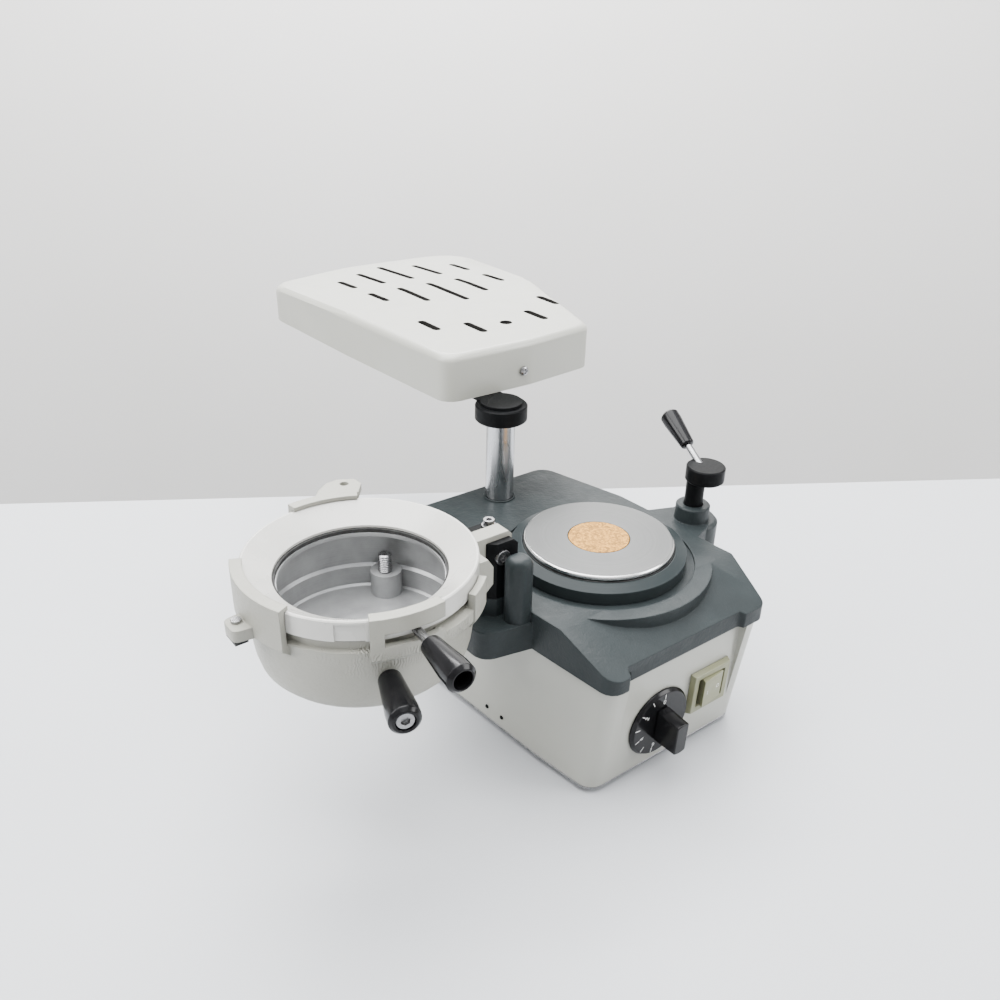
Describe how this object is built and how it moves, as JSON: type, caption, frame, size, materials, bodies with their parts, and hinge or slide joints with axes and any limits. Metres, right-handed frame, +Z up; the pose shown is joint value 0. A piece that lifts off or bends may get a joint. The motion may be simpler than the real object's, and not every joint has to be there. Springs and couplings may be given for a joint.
{
  "type": "pressure moulding machine",
  "caption": "Bench machine with a round model platform, a flip-over pressure chamber with a turning clamp ring, a heater on a swing column, a lock post, a timer dial and a switch.",
  "frame": {"origin": "on the platform's axis, at the underside of the bottom plate (the feet reach 4 mm lower)", "axes": "+Z up, +X from the chamber's side towards the lock post, -Y out of the front face with the dial and switch"},
  "size_m": [0.4862, 0.6111, 0.2715],
  "materials": {
    "white_enamel": "satin",
    "chamber_paint": "satin",
    "ring_paint": "satin",
    "grey_green_paint": "satin",
    "aluminium": "satin",
    "steel": "satin",
    "brass": "satin",
    "black_metal": "satin",
    "black_plastic": "gloss",
    "rubber": "matte",
    "cork": "matte",
    "beige_plastic": "satin",
    "ceramic": "matte",
    "insulator_plastic": "matte"
  },
  "bodies": {
    "base": {"base_housing": "white_enamel", "bottom_plate": "steel", "side_screw_1": "black_metal", "side_screw_2": "black_metal", "foot_1": "rubber", "foot_2": "rubber", "foot_3": "rubber", "foot_4": "rubber", "top_cover": "grey_green_paint", "seat_ring": "grey_green_paint", "plate_seal": "rubber", "model_plate": "aluminium", "plate_insert": "cork", "platform_spindle": "steel", "column": "steel", "column_flange": "grey_green_paint", "column_nut": "steel", "hinge_block": "black_metal", "hinge_pin": "steel", "hinge_washer": "steel", "hinge_screw": "steel", "timer_body": "insulator_plastic", "switch_frame": "beige_plastic", "mains_inlet": "black_plastic", "inlet_pin_1": "brass", "inlet_pin_2": "brass", "inlet_pin_3": "brass", "air_connector": "brass", "solenoid_valve": "insulator_plastic", "terminal_block": "ceramic", "power_transformer": "steel", "pressure_regulator": "brass"},
    "heater": {"swing_collar": "black_metal", "heater_shell": "white_enamel", "heater_pan": "steel", "heater_reflector": "aluminium", "heating_element": "ceramic", "heater_guard": "steel", "heater_bracket": "steel", "heater_face_screw": "steel", "heater_bolt": "steel"},
    "chamber": {"chamber_body": "chamber_paint", "chamber_gasket": "rubber", "chamber_handle_grip": "black_plastic", "chamber_handle_screw": "steel", "latch_pad": "rubber", "latch_bolt": "steel", "air_inlet_screw": "steel"},
    "ring": {"clamp_ring": "ring_paint", "ring_lever_rod": "steel", "ring_lever_grip": "black_plastic"},
    "lock": {"lock_shaft": "black_metal", "lock_head": "black_metal", "lock_lever_rod": "steel", "lock_lever_grip": "black_plastic", "lock_nut": "steel"},
    "dial": {"dial_skirt": "black_plastic", "dial_knob": "black_plastic", "timer_shaft": "steel"},
    "rocker": {"switch_rocker": "beige_plastic"}
  },
  "joints": [
    {"name": "heater_swing", "type": "hinge", "parent": "base", "child": "heater", "pos_m": [-0.004, 0.127, 0.2], "axis": [0, 0, 1], "range_deg": [0, 138]},
    {"name": "chamber_flip", "type": "hinge", "parent": "base", "child": "chamber", "pos_m": [-0.107, 0, 0.1755], "axis": [0, 1, 0], "range_deg": [0, 180]},
    {"name": "ring_turn", "type": "hinge", "parent": "chamber", "child": "ring", "pos_m": [-0.214, 0, 0.2], "axis": [0, 0, 1], "range_deg": [-10, 30]},
    {"name": "lock_turn", "type": "hinge", "parent": "base", "child": "lock", "pos_m": [0.11, 0, 0.15], "axis": [0, 0, 1], "range_deg": [-121, 0]},
    {"name": "timer_dial", "type": "hinge", "parent": "base", "child": "dial", "pos_m": [-0.0214, -0.10074, 0.044], "axis": [0, -0.9995, -0.0319], "range_deg": [-300, 0]},
    {"name": "power_switch", "type": "hinge", "parent": "base", "child": "rocker", "pos_m": [0.0312, -0.10007, 0.05433], "axis": [0, -0.0319, 0.9995], "range_deg": [-13.69, 0]}
  ]
}
